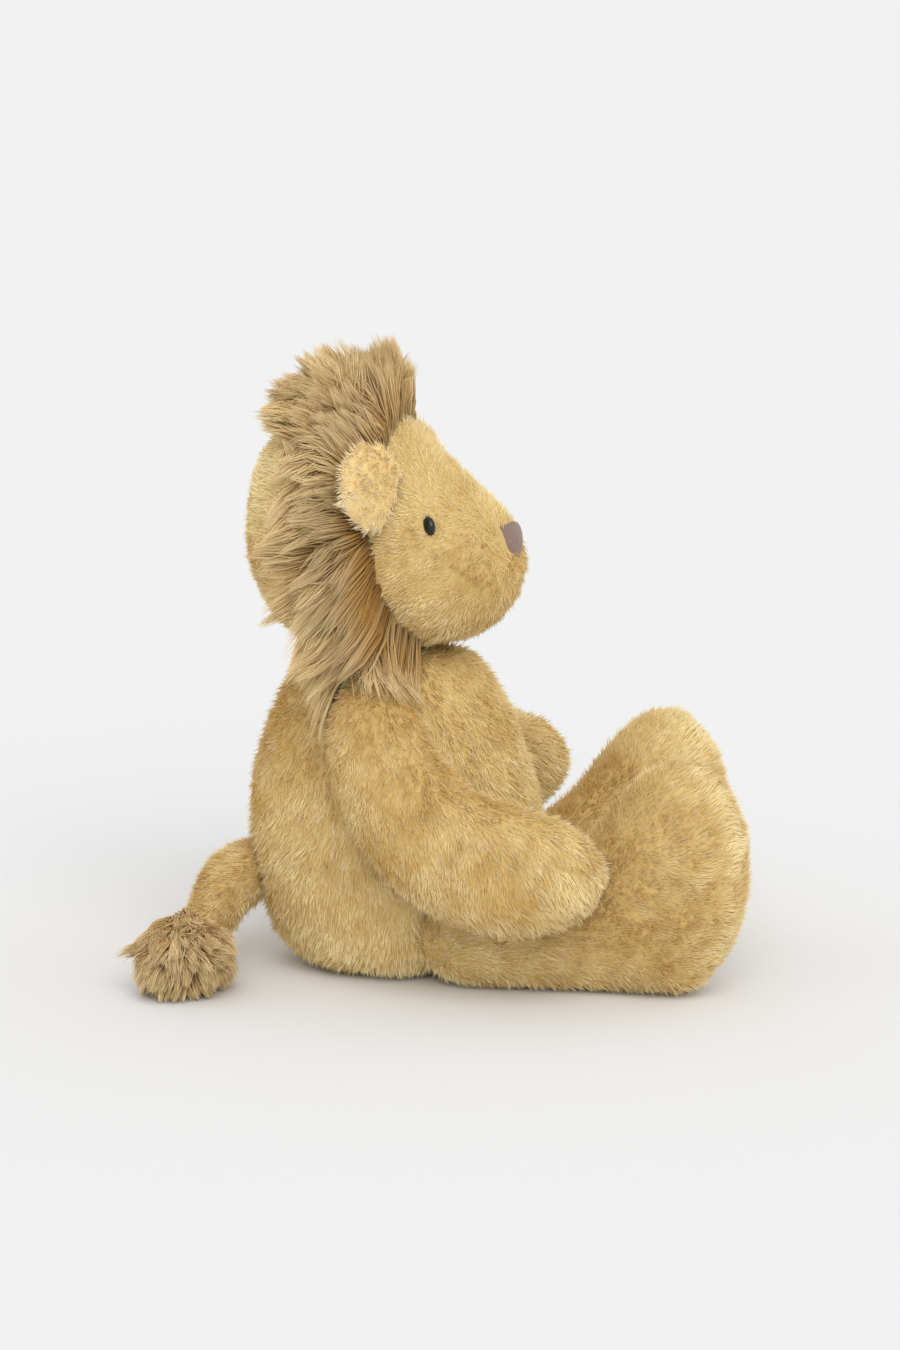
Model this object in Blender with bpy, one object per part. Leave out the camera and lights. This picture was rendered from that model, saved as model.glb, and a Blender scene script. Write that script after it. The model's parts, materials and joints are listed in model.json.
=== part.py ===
"""A sitting plush lion: cloth covers over stuffing, a mane round the face and a tufted tail.

The lion faces +X and stands on Z = 0. Its right side is towards -Y. Lengths are in metres.
Each stuffed shape is a Form: oval rings on a line, closing to a point at both ends. Its
tables hold shares, one for each equal step of the turn from the first end to the last.
"""

import math

import bpy
import numpy as np
from mathutils import Matrix, Vector

# Cloth and seams
CLOTH = 0.003
SEAM_GAP = 0.0003
FILL_GAP = 0.001
OVERRUN = 0.004

# Torso. Its middle is at X = 0, and its widest ring is at WAIST_HEIGHT.
TORSO_LONG = 0.099
TORSO_WIDE = 0.092
TORSO_TALL = 0.132
WAIST_HEIGHT = 0.058
NECK_share = 0.3856
NECK_HEIGHT = WAIST_HEIGHT + TORSO_TALL * NECK_share
TORSO_LONG_shares = (1.7, 1.44, 1.13, 1.0, 0.866, 0.84, 0.88)
TORSO_WIDE_shares = (1.6, 1.42, 1.12, 1.0, 0.87, 0.76, 0.78)
TORSO_LEAN_shares = (0.03, 0.03, 0.025, 0.0, -0.03, -0.046, -0.05)

# Head, turned about the upright neck axis towards the lion's right
NECK_BACK = 0.006
HEAD_TURN = math.radians(-10)
HEAD_LONG = 0.0955
HEAD_TALL = 0.0846
HEAD_WIDE = 0.083
HEAD_BACK = 0.044
HEAD_RISE = 0.0384
HEAD_TALL_shares = (1.25, 1.215, 1.115, 1.0, 0.813, 0.804, 0.76)
HEAD_WIDE_shares = (1.25, 1.23, 1.08, 1.0, 0.973, 1.036, 0.96)
HEAD_RISE_shares = (-0.004, 0.014, -0.003, 0.0, -0.11, -0.137, -0.128)
FACE_SEAM_share = 0.5
FACE_SEAM_GAP = 0.0004

# Mane: from the crown, 0, to its two ends under the cheeks
MANE_THICK = 0.0205
MANE_EDGE = 0.0022
MANE_GAP = 0.0006
MANE_END = math.radians(146)
MANE_FRONT_shares = (0.59, 0.585, 0.555, 0.60, 0.70)
MANE_BACK_shares = (0.06, 0.11, 0.22, 0.31, 0.37)
MANE_THICK_shares = (1.0, 0.88, 0.66, 0.64, 0.42)
MANE_ALONG_shares = (0.0, 0.12, 0.32, 0.54, 0.78, 1.0)
MANE_PROFILE_shares = (0.1, 0.8, 1.0, 0.86, 0.52, 0.1)
LOCK_share = 0.11
LOCKS = 20

# Ears
EAR_TALL = 0.036
EAR_WIDE = 0.031
EAR_THICK = 0.007
EAR_SINK = 0.007
EAR_ANGLE = math.radians(66)
EAR_SWEEP = math.radians(28)
EAR_ALONG_share = 0.59

# Eyes: a bead on a stem through the cloth, held by a washer
EYE = 0.0068
EYE_DOME = 0.0024
STEM = 0.003
STEM_LENGTH = 0.0075
WASHER = 0.010
WASHER_THICK = 0.0014
WASHER_SET = 0.0012
EYE_ALONG_share = 0.716
EYE_ANGLE = math.radians(67)

# Nose patch
NOSE_WIDE = 0.027
NOSE_TALL = 0.0125
NOSE_THICK = 0.0011
NOSE_RISE = 0.0365

# Arms. Their points are shares of ARM_REACH from the shoulder: forward, outward, up.
ARM_REACH = 0.0756
ARM_TALL = 0.046
ARM_THICK = 0.032
SHOULDER_BACK = 0.006
SHOULDER_DROP = 0.0189
SHOULDER_HEIGHT = NECK_HEIGHT - SHOULDER_DROP
SHOULDER_SEAM = 0.020
ARM_GAP = 0.0005
ARM_LINE_shares = ((-0.026, 0.05, 0.225), (0.0, 0.35, -0.397), (0.33, 0.47, -0.688), (1.0, 0.47, -0.556))
ARM_TALL_shares = (1.3, 1.17, 0.943, 0.935, 1.157, 1.39, 1.45)
ARM_THICK_shares = (1.5, 1.42, 1.14, 0.98, 1.156, 1.44, 1.5)
LEFT_ARM_RAISE = math.radians(6)
LEFT_ARM_SPLAY = math.radians(14)
ARM_DOWN = math.radians(10)
ARM_UP = math.radians(45)

# Legs
LEG_LONG = 0.113
LEG_TALL = 0.079
LEG_WIDE_share = 0.4348
LEG_WIDE = TORSO_WIDE * LEG_WIDE_share
HIP_FRONT = 0.024
HIP_SIDE_share = 0.3207
HIP_SIDE = TORSO_WIDE * HIP_SIDE_share
HIP_HEIGHT = 0.0195
HIP_REACH = 0.020
HIP_SEAM = 0.020
LEG_SPLAY = math.radians(12.8)
LEG_UP = math.radians(3)
SEAT_SLANT_share = 0.8
LEG_RISE_shares = (0.0, -0.003, -0.006, -0.006, 0.05, 0.215, 0.25, 0.283, 0.29)
LEG_TALL_shares = (0.709, 0.709, 0.695, 0.54, 0.615, 1.0, 1.375, 1.468, 1.52)
LEG_WIDE_shares = (1.6, 1.6, 1.385, 1.03, 0.895, 1.055, 1.415, 1.9, 2.0)
SOLE_SEAM_share = 0.925

# Tail, from a ball in the torso's back to the tuft. Its points are shares of TAIL_REACH.
TAIL_THICK = 0.0240
TAIL_REACH = 0.050
TAIL_HEIGHT = 0.031
TAIL_SET = 0.004
TAIL_LINE_shares = ((0.20, 0.0, 0.03), (-0.24, 0.0, -0.02), (-0.38, -0.20, -0.16), (-0.38, -0.54, -0.30))
TAIL_THICK_shares = (1.9, 1.68, 1.06, 0.95, 1.0, 1.35, 1.6)
TAIL_END_share = 0.82
TUFT_LONG = 0.038
TUFT_THICK = 0.034
TUFT_START = math.radians(25)
TUFT_THICK_shares = (0.75, 0.95, 1.02, 1.0, 1.0, 1.04, 0.9)
TUFT_DROP_share = -0.08
TUFT_LOCK_share = 0.07

# Pellet bag in the seat
PELLET_LONG = 0.028
PELLET_WIDE_share = 0.4565
PELLET_WIDE = TORSO_WIDE * PELLET_WIDE_share
PELLET_TALL = 0.024
PELLET_BACK = 0.012

# Colours of the plush and trims, as linear red, green and blue
HONEY = (0.60, 0.40, 0.14)
CREAM = (0.75, 0.56, 0.27)
BROWN = (0.38, 0.24, 0.11)
MAUVE = (0.31, 0.20, 0.18)
BLACK = (0.012, 0.012, 0.010)
WHITE = (0.80, 0.80, 0.78)


def curve_through(shares, turn):
    """The smooth curve through equally spaced shares, read at a turn from 0 to pi."""
    values = np.asarray(shares, float)
    last = len(values) - 1
    reached = min(max(turn / math.pi, 0.0), 1.0) * last
    i = min(int(reached), last - 1)
    t = reached - i
    before = values[i - 1] if i > 0 else 2 * values[0] - values[1]
    after = values[i + 2] if i + 2 <= last else 2 * values[last] - values[last - 1]
    here, following = values[i], values[i + 1]
    rise = (following - before) / 2
    fall = (after - here) / 2
    return float(
        here * (2 * t**3 - 3 * t**2 + 1)
        + rise * (t**3 - 2 * t**2 + t)
        + following * (3 * t**2 - 2 * t**3)
        + fall * (t**3 - t**2)
    )


def straight_line(start, end, up, rise, rise_shares):
    """A straight line whose rings slide along `up` by shares of `rise`."""
    start, end, up = Vector(start), Vector(end), Vector(up)
    along = (end - start).normalized()
    side = up.cross(along)

    def ring_at(turn, inset):
        first = start + along * inset
        last = end - along * inset
        share = (1 - math.cos(turn)) / 2
        centre = first.lerp(last, share) + up * (rise * curve_through(rise_shares, turn))
        return centre, up, side

    return ring_at


def bent_line(points, side_hint):
    """A line on a cubic curve. Its rings stand square to the curve."""
    a, b, c, d = (Vector(p) for p in points)
    length = (a - b).length + (b - c).length + (c - d).length
    side_hint = Vector(side_hint)

    def ring_at(turn, inset):
        trim = inset / length
        t = trim + (1 - 2 * trim) * (1 - math.cos(turn)) / 2
        centre = a * (1 - t) ** 3 + b * (3 * t * (1 - t) ** 2) + c * (3 * t**2 * (1 - t)) + d * t**3
        along = (b - a) * (1 - t) ** 2 + (c - b) * (2 * t * (1 - t)) + (d - c) * t**2
        along.normalize()
        side = (side_hint - along * side_hint.dot(along)).normalized()
        return centre, side.cross(along), side

    return ring_at


class Form:
    """A stuffed shape: oval rings on a line. A positive inset gives a smaller form inside it."""

    locks, lock = 0, 0.0

    def __init__(self, line, tall, tall_shares, wide, wide_shares, power=2.0):
        self.line, self.power = line, power
        self.tall, self.tall_shares = tall, tall_shares
        self.wide, self.wide_shares = wide, wide_shares

    def halves(self, turn, inset=0.0):
        up = self.tall / 2 * curve_through(self.tall_shares, turn) - inset
        side = self.wide / 2 * curve_through(self.wide_shares, turn) - inset
        return up * math.sin(turn), side * math.sin(turn)

    def point(self, turn, angle, inset=0.0):
        centre, up, side = self.line(turn, inset)
        half_up, half_side = self.halves(turn, inset)
        swell = 1 + self.lock * math.cos(self.locks * angle)
        return (
            centre
            + up * (swell * half_up * bulge(math.cos(angle), self.power))
            + side * (swell * half_side * bulge(math.sin(angle), self.power))
        )

    def outward(self, turn, angle):
        step = 1e-3
        here = self.point(turn, angle)
        normal = (self.point(turn + step, angle) - here).cross(self.point(turn, angle + step) - here)
        normal.normalize()
        centre = self.line(turn, 0.0)[0]
        return normal if normal.dot(here - centre) > 0 else -normal

    def turn_at(self, share):
        """The turn at which the line has run this share of its length."""
        return math.acos(1 - 2 * share)


def bulge(value, power):
    return math.copysign(abs(value) ** (2 / power), value)


def close_surface(points, faces):
    """The mesh, turned so that its faces point out."""
    volume = 0.0
    for face in faces:
        for j in range(1, len(face) - 1):
            volume += points[face[0]].dot(points[face[j]].cross(points[face[j + 1]]))
    if volume < 0:
        faces = [face[::-1] for face in faces]
    mesh = bpy.data.meshes.new("piece")
    mesh.from_pydata(points, [], faces)
    mesh.validate()
    mesh.shade_smooth()
    mesh.set_sharp_from_angle(angle=math.radians(50))
    return mesh


def wall(form, turns, sides, inset, press, points, faces, inward):
    """One surface of a form between two turns, with a point where it reaches an end."""
    rings, ends = [], []
    for turn in turns:
        at_end = math.sin(turn) < 1e-6
        angles = [0.0] if at_end else [2 * math.pi * k / sides for k in range(sides)]
        ring = []
        for angle in angles:
            ring.append(len(points))
            points.append(press(form.point(turn, angle, inset), inset))
        (ends if at_end else rings).append(ring)
    made = []
    for low, high in zip(rings, rings[1:]):
        for k in range(sides):
            n = (k + 1) % sides
            made.append((low[k], low[n], high[n], high[k]))
    if math.sin(turns[0]) < 1e-6:
        tip = ends[0][0]
        made += [(rings[0][(k + 1) % sides], rings[0][k], tip) for k in range(sides)]
    if math.sin(turns[-1]) < 1e-6:
        tip = ends[-1][0]
        made += [(rings[-1][k], rings[-1][(k + 1) % sides], tip) for k in range(sides)]
    faces += [face[::-1] for face in made] if inward else made
    return rings


def stay(point, inset):
    return point


def core_mesh(form, first, last, rings, sides, inset=0.0, press=stay):
    """A solid filling of a form between two turns, closed flat where it is cut short."""
    points, faces = [], []
    turns = list(np.linspace(first, last, rings))
    made = wall(form, turns, sides, inset, press, points, faces, False)
    for ring, flip in ((made[0], True), (made[-1], False)):
        turn = turns[0] if flip else turns[-1]
        if math.sin(turn) < 1e-6:
            continue
        points.append(sum((points[i] for i in ring), Vector()) / sides)
        tip = len(points) - 1
        for k in range(sides):
            pair = (ring[k], ring[(k + 1) % sides])
            faces.append((pair[1], pair[0], tip) if flip else (*pair, tip))
    return close_surface(points, faces)


def cover_mesh(form, first, last, rings, sides, press=stay, thick=CLOTH):
    """A cloth cover with an outer and an inner wall, open at each end that is cut short."""
    points, faces = [], []
    turns = list(np.linspace(first, last, rings))
    outer = wall(form, turns, sides, 0.0, press, points, faces, False)
    inner = wall(form, turns, sides, thick, press, points, faces, True)
    for k in range(sides):
        n = (k + 1) % sides
        if math.sin(first) > 1e-6:
            faces.append((outer[0][n], outer[0][k], inner[0][k], inner[0][n]))
        if math.sin(last) > 1e-6:
            faces.append((outer[-1][k], outer[-1][n], inner[-1][n], inner[-1][k]))
    return close_surface(points, faces)


def turned_mesh(profile, steps):
    """A piece turned about Z from (radius, height) points. Radius 0 closes an end."""
    points, faces, rings = [], [], []
    for radius, height in profile:
        count = steps if radius > 0 else 1
        rings.append(list(range(len(points), len(points) + count)))
        for k in range(count):
            a = 2 * math.pi * k / steps
            points.append(Vector((radius * math.cos(a), radius * math.sin(a), height)))
    closed = profile[0][0] > 0
    pairs = list(zip(rings, rings[1:])) + ([(rings[-1], rings[0])] if closed else [])
    for low, high in pairs:
        for k in range(steps):
            n = (k + 1) % steps
            corners = [low[k % len(low)], low[n % len(low)], high[n % len(high)], high[k % len(high)]]
            faces.append(tuple(dict.fromkeys(corners)))
    return close_surface(points, faces)


def plush(name, colour, roughness=0.95, metallic=0.0):
    material = bpy.data.materials.get(name) or bpy.data.materials.new(name)
    material.use_nodes = True
    shader = material.node_tree.nodes["Principled BSDF"]
    shader.inputs["Base Color"].default_value = (*colour, 1)
    shader.inputs["Roughness"].default_value = roughness
    shader.inputs["Metallic"].default_value = metallic
    return material


def place(name, mesh, parent, material=None, matrix=None):
    piece = bpy.data.objects.new(name, mesh)
    bpy.context.scene.collection.objects.link(piece)
    piece.parent = parent
    if matrix is not None:
        piece.matrix_local = matrix
    if material:
        mesh.materials.append(material)
    return piece


def joint(name, parent, location, turn=0.0):
    empty = bpy.data.objects.new(name, None)
    bpy.context.scene.collection.objects.link(empty)
    empty.parent = parent
    empty.location = location
    empty.rotation_euler = (0, 0, turn)
    return empty


def cut(piece, cutter):
    cutter.hide_render = True
    cutter.display_type = "WIRE"
    change = piece.modifiers.new("Cut by " + cutter.name, "BOOLEAN")
    change.operation = "DIFFERENCE"
    change.solver = "EXACT"
    change.object = cutter


def on_floor(point, inset):
    point.z = max(point.z, inset)
    return point


def torso_form():
    low = WAIST_HEIGHT - TORSO_TALL / 2
    line = straight_line((0, 0, low), (0, 0, low + TORSO_TALL), (1, 0, 0), TORSO_LONG, TORSO_LEAN_shares)
    return Form(line, TORSO_LONG, TORSO_LONG_shares, TORSO_WIDE, TORSO_WIDE_shares)


def turn_at_height(height):
    return math.acos((WAIST_HEIGHT - height) / (TORSO_TALL / 2))


def torso_half_width(x, height):
    """How far the torso reaches sideways at this place, or 0 where it has no cloth."""
    share = (WAIST_HEIGHT - height) / (TORSO_TALL / 2)
    if abs(share) >= 1:
        return 0.0
    turn = math.acos(share)
    half_long, half_wide = torso.halves(turn)
    ratio = (x - torso.line(turn, 0.0)[0].x) / half_long
    return half_wide * math.sqrt(max(0.0, 1 - ratio * ratio))


def torso_back(height):
    turn = turn_at_height(height)
    return torso.line(turn, 0.0)[0].x - torso.halves(turn)[0]


def widest_met(x, height):
    """The torso's widest reach on the way of an arm's point, over the arm's whole swing."""
    forward, up = x + SHOULDER_BACK, height - SHOULDER_HEIGHT
    reach, here = math.hypot(forward, up), math.atan2(up, forward)
    way = np.linspace(here - ARM_DOWN, here + ARM_UP, 12)
    return max(
        torso_half_width(reach * math.cos(a) - SHOULDER_BACK, reach * math.sin(a) + SHOULDER_HEIGHT)
        for a in way
    )


def make_torso(lion):
    last = turn_at_height(NECK_HEIGHT - SEAM_GAP)
    cover = cover_mesh(torso, 0.0, last, 17, 28, on_floor)
    cover = place("torso_cover", cover, lion, plush("honey_plush", HONEY))
    filling = core_mesh(torso, 0.0, last, 12, 20, CLOTH + FILL_GAP, on_floor)
    filling = place("torso_stuffing", filling, lion, plush("stuffing", WHITE))
    for side, name in ((-1, "right"), (1, "left")):
        notch = place(f"{name}_leg_seat", leg_seat_mesh(side), lion)
        cut(cover, notch)
        cut(filling, notch)
    return cover, filling


def leg_seat_mesh(side):
    """The hollow in the torso that a thigh fills, long enough for the leg to swing down."""
    radius = HIP_REACH + SEAM_GAP + OVERRUN / 4
    outline = []
    steps = 14
    first = math.pi / 2 + LEG_UP
    for k in range(steps + 1):
        a = first + (1.5 * math.pi - first) * k / steps
        outline.append((HIP_FRONT + radius * math.cos(a), HIP_HEIGHT + radius * math.sin(a)))
    front = TORSO_LONG
    rise = math.tan(LEG_UP) * (front - outline[0][0])
    outline.append((outline[-1][0], -OVERRUN))
    outline.append((front, -OVERRUN))
    outline.append((front, outline[0][1] + rise))
    near = HIP_SIDE - LEG_WIDE / 2 - SEAM_GAP
    slant = math.tan(LEG_SPLAY) * SEAT_SLANT_share
    count = len(outline)
    points = [Vector((x, side * (near + slant * max(0.0, x - HIP_FRONT)), z)) for x, z in outline]
    points += [Vector((x, side * TORSO_WIDE, z)) for x, z in outline]
    faces = [tuple(range(steps + 1)), (0, *range(steps, count)), tuple(range(2 * count - 1, count - 1, -1))]
    faces += [((k + 1) % count, k, k + count, (k + 1) % count + count) for k in range(count)]
    return close_surface(points, faces)


def make_pellet_bag(lion, filling):
    floor = CLOTH + SEAM_GAP

    def on_cover(point, inset):
        point.z = max(point.z, floor + inset)
        return point

    def straight_down(point, inset):
        if point.z < floor + PELLET_TALL / 3:
            point.z = -OVERRUN
        return point

    half = PELLET_TALL / 2
    low, high = (-PELLET_BACK, 0, floor - half), (-PELLET_BACK, 0, floor + PELLET_TALL)
    line = straight_line(low, high, (1, 0, 0), 0.0, (0, 0))
    bag = Form(line, PELLET_LONG, (1, 1), PELLET_WIDE, (1, 1))
    place("pellet_bag", core_mesh(bag, 0.0, math.pi, 9, 16, press=on_cover), lion, plush("bag_cloth", WHITE))
    pocket = core_mesh(bag, math.pi / 2, math.pi, 7, 16, -2 * FILL_GAP, straight_down)
    cut(filling, place("pellet_pocket", pocket, lion))


def head_form():
    rear, front = (-HEAD_BACK, 0, HEAD_RISE), (HEAD_LONG - HEAD_BACK, 0, HEAD_RISE)
    line = straight_line(rear, front, (0, 0, 1), HEAD_TALL, HEAD_RISE_shares)
    return Form(line, HEAD_TALL, HEAD_TALL_shares, HEAD_WIDE, HEAD_WIDE_shares, power=2.2)


def make_head(neck):
    honey = plush("honey_plush", HONEY)
    seam = head.turn_at(FACE_SEAM_share)
    gap = FACE_SEAM_GAP / HEAD_LONG * 2
    back = place("head_back_panel", cover_mesh(head, 0.0, seam - gap, 9, 26), neck, honey)
    face = place("face_panel", cover_mesh(head, seam + gap, math.pi, 11, 26), neck, honey)
    filling = core_mesh(head, 0.0, math.pi, 14, 20, CLOTH + FILL_GAP)
    filling = place("head_stuffing", filling, neck, plush("stuffing", WHITE))
    wide = 2 * HEAD_LONG
    corners = [(x, y, z) for x in (-wide, wide) for y in (-wide, wide) for z in (-wide, 0)]
    opening = bpy.data.meshes.new("neck_opening")
    sides = [(0, 1, 3, 2), (4, 6, 7, 5), (0, 4, 5, 1), (2, 3, 7, 6), (0, 2, 6, 4), (1, 5, 7, 3)]
    opening.from_pydata(corners, [], sides)
    opening = place("neck_opening", opening, neck)
    for piece in (back, face, filling):
        cut(piece, opening)
    room = place("head_room", core_mesh(head, 0.0, math.pi, 20, 26, -MANE_GAP), neck)
    return face, filling, room


def mane_table(shares, angle):
    return curve_through(shares, math.pi * abs(angle) / MANE_END)


def make_mane(neck, head_room):
    """A horseshoe of locks swept round the head, its inside cut to the head's cloth."""
    steps = 2 * LOCKS + 1
    points, faces, loops = [], [], []
    for k in range(steps):
        angle = MANE_END * (2 * k / (steps - 1) - 1)
        lock = 1 + LOCK_share * (-1) ** k
        front, back = mane_table(MANE_FRONT_shares, angle), mane_table(MANE_BACK_shares, angle)
        thick = MANE_THICK * mane_table(MANE_THICK_shares, angle) * lock
        outer, inner = [], []
        for along, profile in zip(MANE_ALONG_shares, MANE_PROFILE_shares):
            share = front + (back - front) * along
            turn = head.turn_at(share)
            depth = max(MANE_EDGE, thick * profile)
            for ring, inset in ((outer, -MANE_GAP - depth), (inner, CLOTH)):
                point = head.point(turn, angle, inset)
                point.z = max(point.z, SEAM_GAP)
                ring.append(point)
        loop = outer + inner[::-1]
        loops.append(range(len(points), len(points) + len(loop)))
        points += loop
    size = len(loops[0])
    for low, high in zip(loops, loops[1:]):
        for k in range(size):
            n = (k + 1) % size
            faces.append((low[k], low[n], high[n], high[k]))
    half = size // 2
    for loop, flip in ((loops[0], True), (loops[-1], False)):
        for k in range(half - 1):
            face = (loop[k], loop[k + 1], loop[size - 2 - k], loop[size - 1 - k])
            faces.append(face[::-1] if flip else face)
    mane = place("mane", close_surface(points, faces), neck, plush("mane_pile", BROWN))
    cut(mane, head_room)
    return mane


def make_ear(neck, side, name, head_room, mane):
    """A flat rounded ear, swept back over the mane and cut where it meets the side of the head."""
    turn = head.turn_at(EAR_ALONG_share)
    root = head.point(turn, side * EAR_ANGLE)
    sweep = Matrix.Rotation(side * EAR_SWEEP, 3, "Z")
    outward = sweep @ Vector((0, side * math.sin(EAR_ANGLE), math.cos(EAR_ANGLE)))
    start = root - outward * EAR_SINK
    line = straight_line(start, start + outward * EAR_TALL, sweep @ Vector((1, 0, 0)), 0.0, (0, 0))
    form = Form(line, EAR_THICK, (1.0, 1.1, 1.0, 1.0), EAR_WIDE, (0.9, 1.0, 1.0, 1.05))
    ear = place(f"{name}_ear", core_mesh(form, 0.0, math.pi, 11, 16), neck, plush("cream_plush", CREAM))
    cut(ear, head_room)
    room = place(f"{name}_ear_room", core_mesh(form, 0.0, math.pi, 11, 16, -MANE_GAP), neck)
    cut(mane, room)


def make_eye(neck, side, name, face, filling):
    turn = head.turn_at(EYE_ALONG_share)
    angle = side * EYE_ANGLE
    matrix = head.outward(turn, angle).to_track_quat("Z", "Y").to_matrix().to_4x4()
    matrix.translation = head.point(turn, angle)
    radius, stem = EYE / 2, STEM / 2
    dome = [
        (radius * math.cos(a), SEAM_GAP + EYE_DOME * math.sin(a))
        for a in (math.radians(d) for d in (0, 22, 45, 68))
    ]
    profile = [(0, -STEM_LENGTH), (stem, -STEM_LENGTH), (stem, SEAM_GAP), *dome, (0, SEAM_GAP + EYE_DOME)]
    place(f"{name}_eye", turned_mesh(profile, 14), neck, plush("eye_bead", BLACK, 0.08), matrix)
    top = -CLOTH - WASHER_SET
    low = top - WASHER_THICK
    bore = stem + SEAM_GAP
    ring = [(bore, low), (WASHER / 2, low), (WASHER / 2, top), (bore, top)]
    place(f"{name}_eye_washer", turned_mesh(ring, 14), neck, plush("washer", WHITE, 0.5), matrix)
    hole = [(0, low), (bore, low), (bore, OVERRUN), (0, OVERRUN)]
    cut(face, place(f"{name}_eye_hole", turned_mesh(hole, 10), neck, None, matrix))
    wide = WASHER / 2 + SEAM_GAP
    deep = -STEM_LENGTH - SEAM_GAP
    pocket = [(0, deep), (wide, deep), (wide, OVERRUN), (0, OVERRUN)]
    cut(filling, place(f"{name}_washer_pocket", turned_mesh(pocket, 12), neck, None, matrix))


def snout_place(y, z, lift):
    """The point of the snout, seen from the front at (y, z), lifted off the cloth."""
    low, high = math.pi / 2, math.pi
    for _ in range(40):
        turn = (low + high) / 2
        half_up, half_side = head.halves(turn, -lift)
        centre = head.line(turn, -lift)[0]
        level = abs((z - centre.z) / half_up) ** head.power + abs(y / half_side) ** head.power
        low, high = (turn, high) if level < 1 else (low, turn)
    return Vector((head.line(low, -lift)[0].x, y, z))


def make_nose(neck):
    """A rounded triangle of suede, wide side up, laid on the front of the snout."""
    sides, rings = 18, 4
    points, faces = [], []
    layers = []
    for lift in (SEAM_GAP, SEAM_GAP + NOSE_THICK):
        layer = [[len(points)]]
        points.append(snout_place(0.0, NOSE_RISE, lift))
        for r in range(1, rings + 1):
            ring = []
            for k in range(sides):
                a = 2 * math.pi * k / sides
                reach = (1 + math.sin(3 * a) / 9) * r / rings
                y = NOSE_WIDE / 2 * reach * math.cos(a) * (1 + math.sin(a) / 4)
                z = NOSE_RISE + NOSE_TALL / 2 * reach * math.sin(a)
                ring.append(len(points))
                points.append(snout_place(y, z, lift))
            layer.append(ring)
        layers.append(layer)
    for layer, flip in zip(layers, (True, False)):
        made = []
        for k in range(sides):
            n = (k + 1) % sides
            made.append((layer[0][0], layer[1][k], layer[1][n]))
            made += [(a[k], b[k], b[n], a[n]) for a, b in zip(layer[1:], layer[2:])]
        faces += [face[::-1] for face in made] if flip else made
    under, over = layers[0][-1], layers[1][-1]
    faces += [(under[k], under[(k + 1) % sides], over[(k + 1) % sides], over[k]) for k in range(sides)]
    place("nose_patch", close_surface(points, faces), neck, plush("nose_suede", MAUVE, 0.85))


def make_arm(lion, side, name, raised, splayed):
    torso_side = torso_half_width(-SHOULDER_BACK, SHOULDER_HEIGHT)
    shoulder = Vector((-SHOULDER_BACK, side * torso_side, SHOULDER_HEIGHT))
    pose = Matrix.Rotation(side * splayed, 3, "Z") @ Matrix.Rotation(-raised, 3, "Y")
    line_points = []
    for x, y, z in ARM_LINE_shares:
        line_points.append(shoulder + pose @ (Vector((x, side * y, z)) * ARM_REACH))
    line = bent_line(line_points, (0, side, 0))
    arm = Form(line, ARM_TALL, ARM_TALL_shares, ARM_THICK, ARM_THICK_shares)

    def beside_torso(point, inset):
        need = widest_met(point.x, point.z) + ARM_GAP + inset
        if side * point.y < need:
            point.y = side * need
        return point

    hinge = joint(f"{name}_shoulder", lion, shoulder)
    home = Matrix.Translation(-shoulder)
    cover = cover_mesh(arm, 0.0, math.pi, 15, 18, beside_torso)
    cover.transform(home)
    cover = place(f"{name}_arm_cover", cover, hinge, plush("honey_plush", HONEY))
    filling = core_mesh(arm, 0.0, math.pi, 15, 18, CLOTH + FILL_GAP + SEAM_GAP, beside_torso)
    filling.transform(home)
    place(f"{name}_arm_stuffing", filling, hinge, plush("stuffing", WHITE))
    reach = ARM_THICK / 4
    wide = SHOULDER_SEAM / 2
    hole = turned_mesh([(0, -reach), (wide, -reach), (wide, reach), (0, reach)], 16)
    hole.transform(Matrix.Rotation(math.pi / 2, 4, "X"))
    cut(cover, place(f"{name}_arm_opening", hole, hinge))


def make_leg(lion, side, name):
    hip = Vector((HIP_FRONT, side * HIP_SIDE, HIP_HEIGHT))
    ahead = Matrix.Rotation(side * LEG_SPLAY, 3, "Z") @ Vector((1, 0, 0))
    start = hip - ahead * HIP_REACH
    line = straight_line(start, start + ahead * LEG_LONG, (0, 0, 1), LEG_TALL, LEG_RISE_shares)
    leg = Form(line, LEG_TALL, LEG_TALL_shares, LEG_WIDE, LEG_WIDE_shares, power=2.15)
    hinge = joint(f"{name}_hip", lion, hip)
    home = Matrix.Translation(-hip)
    honey = plush("honey_plush", HONEY)
    seam = leg.turn_at(SOLE_SEAM_share)
    gap = SEAM_GAP / LEG_LONG / math.sin(seam) * 2
    cover = cover_mesh(leg, 0.0, seam - gap, 15, 20, on_floor)
    cover.transform(home)
    cover = place(f"{name}_leg_cover", cover, hinge, honey)
    sole = cover_mesh(leg, seam + gap, math.pi, 4, 20, on_floor)
    sole.transform(home)
    place(f"{name}_sole", sole, hinge, honey)
    filling = core_mesh(leg, 0.0, math.pi, 15, 16, CLOTH + 2 * FILL_GAP, on_floor)
    filling.transform(home)
    place(f"{name}_leg_stuffing", filling, hinge, plush("stuffing", WHITE))
    inner = -side * LEG_WIDE
    centre = -side * LEG_WIDE / 4
    low, high = sorted((inner, centre))
    hole = turned_mesh([(0, low), (HIP_SEAM / 2, low), (HIP_SEAM / 2, high), (0, high)], 16)
    hole.transform(Matrix.Rotation(-math.pi / 2, 4, "X"))
    cut(cover, place(f"{name}_leg_opening", hole, hinge))


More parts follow.
